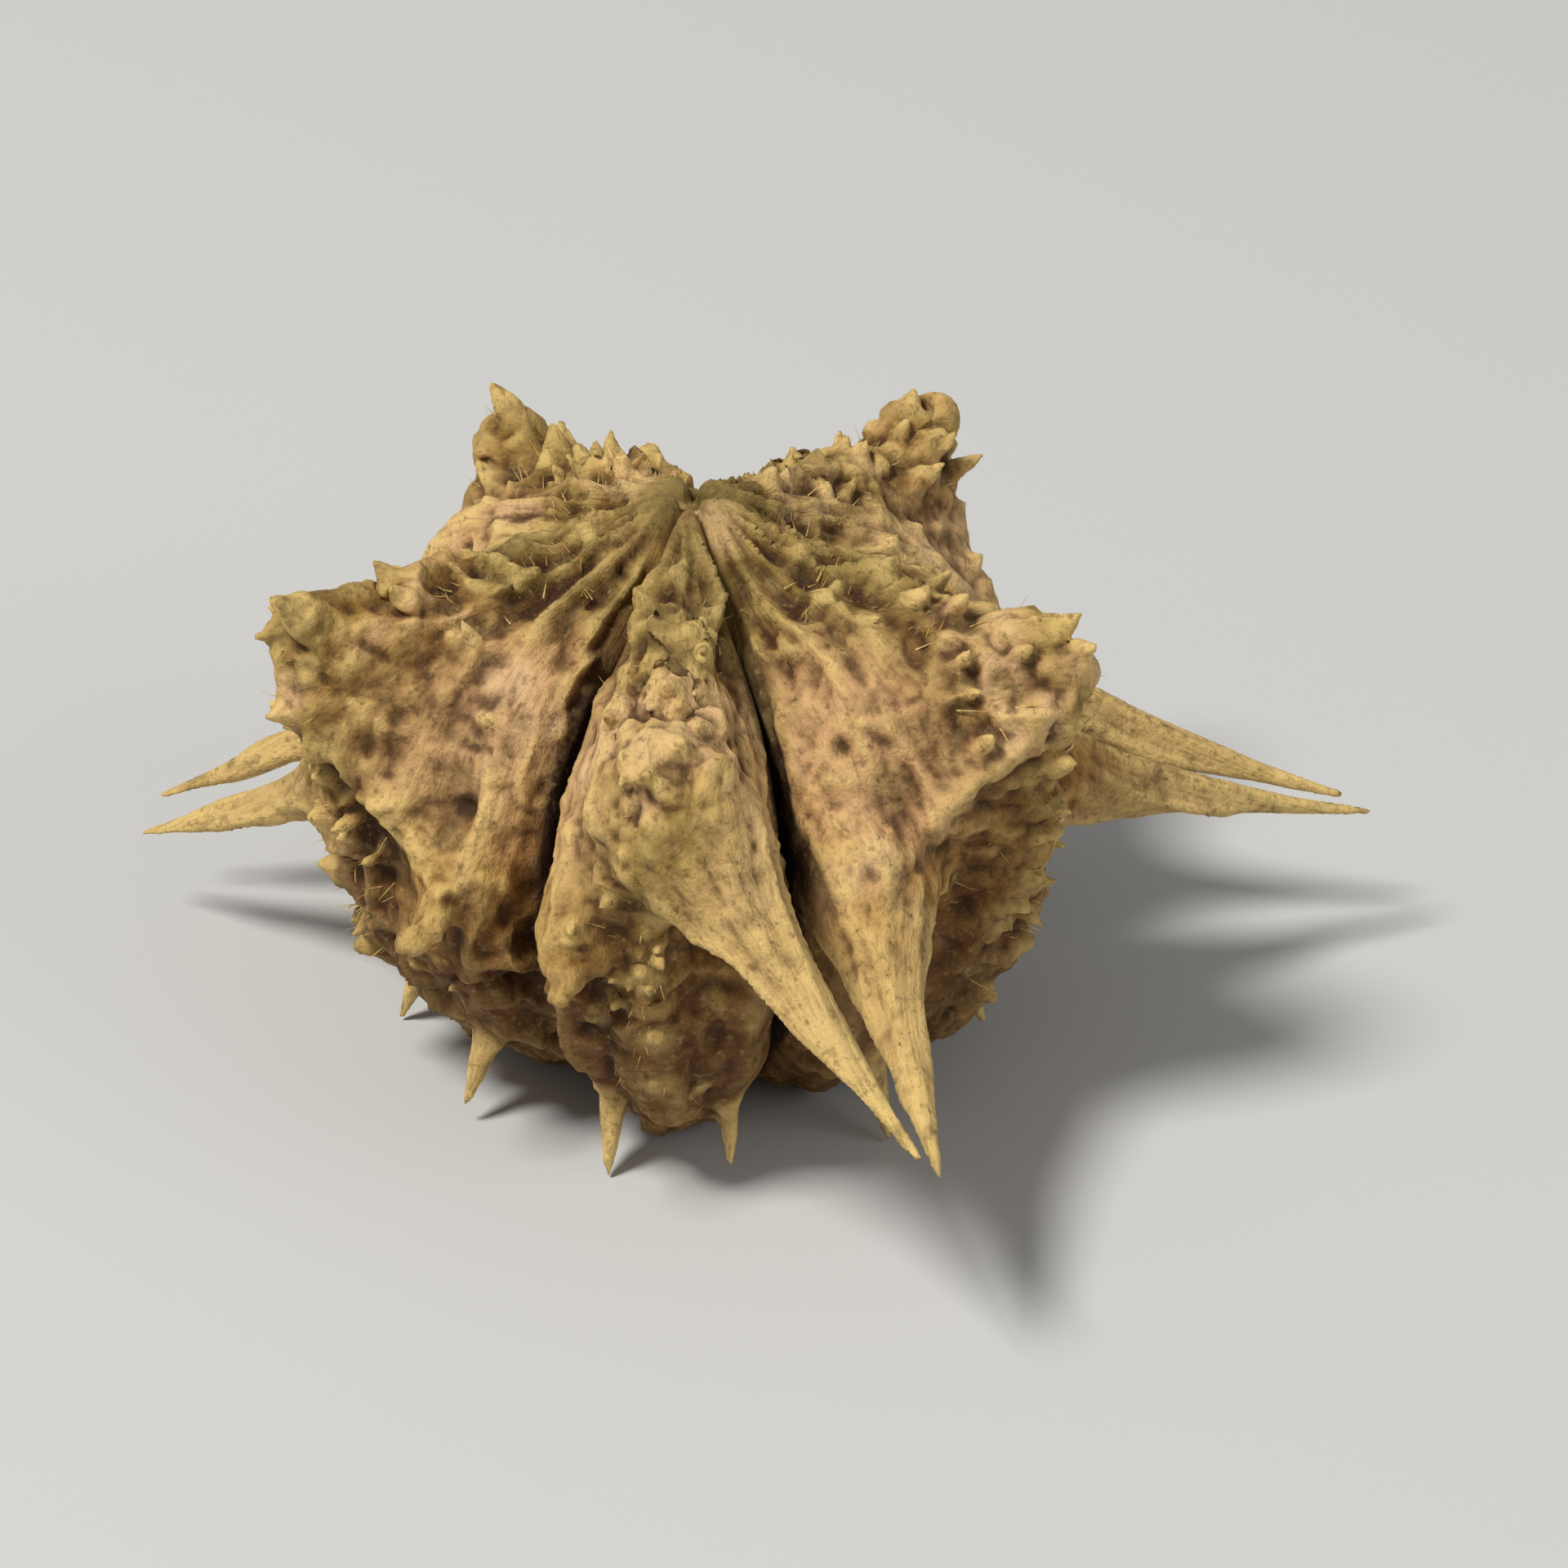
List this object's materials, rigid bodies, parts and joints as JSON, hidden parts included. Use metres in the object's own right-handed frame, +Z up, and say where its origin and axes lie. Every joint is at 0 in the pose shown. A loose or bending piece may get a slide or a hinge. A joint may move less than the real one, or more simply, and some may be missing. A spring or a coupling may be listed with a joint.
{
  "type": "caltrop seed pod",
  "caption": "Dry woody seed pod: wedge-shaped nutlets round one axis, each with a toothed crest and long, sharp paired spines.",
  "frame": {"origin": "on the resting surface, midway between the outermost spine tips in X and in Y", "axes": "+Z up along the pod's axis from its foot to its beak, -Y towards the narrow front nutlet, +X to its right"},
  "size_m": [0.016, 0.0176, 0.008],
  "materials": {
    "husk": "dry, matt, rough straw-brown husk"
  },
  "bodies": {
    "root": {"nutlet_front": "husk", "nutlet_right": "husk", "nutlet_back_right": "husk", "nutlet_back_left": "husk", "nutlet_left": "husk"}
  },
  "joints": []
}
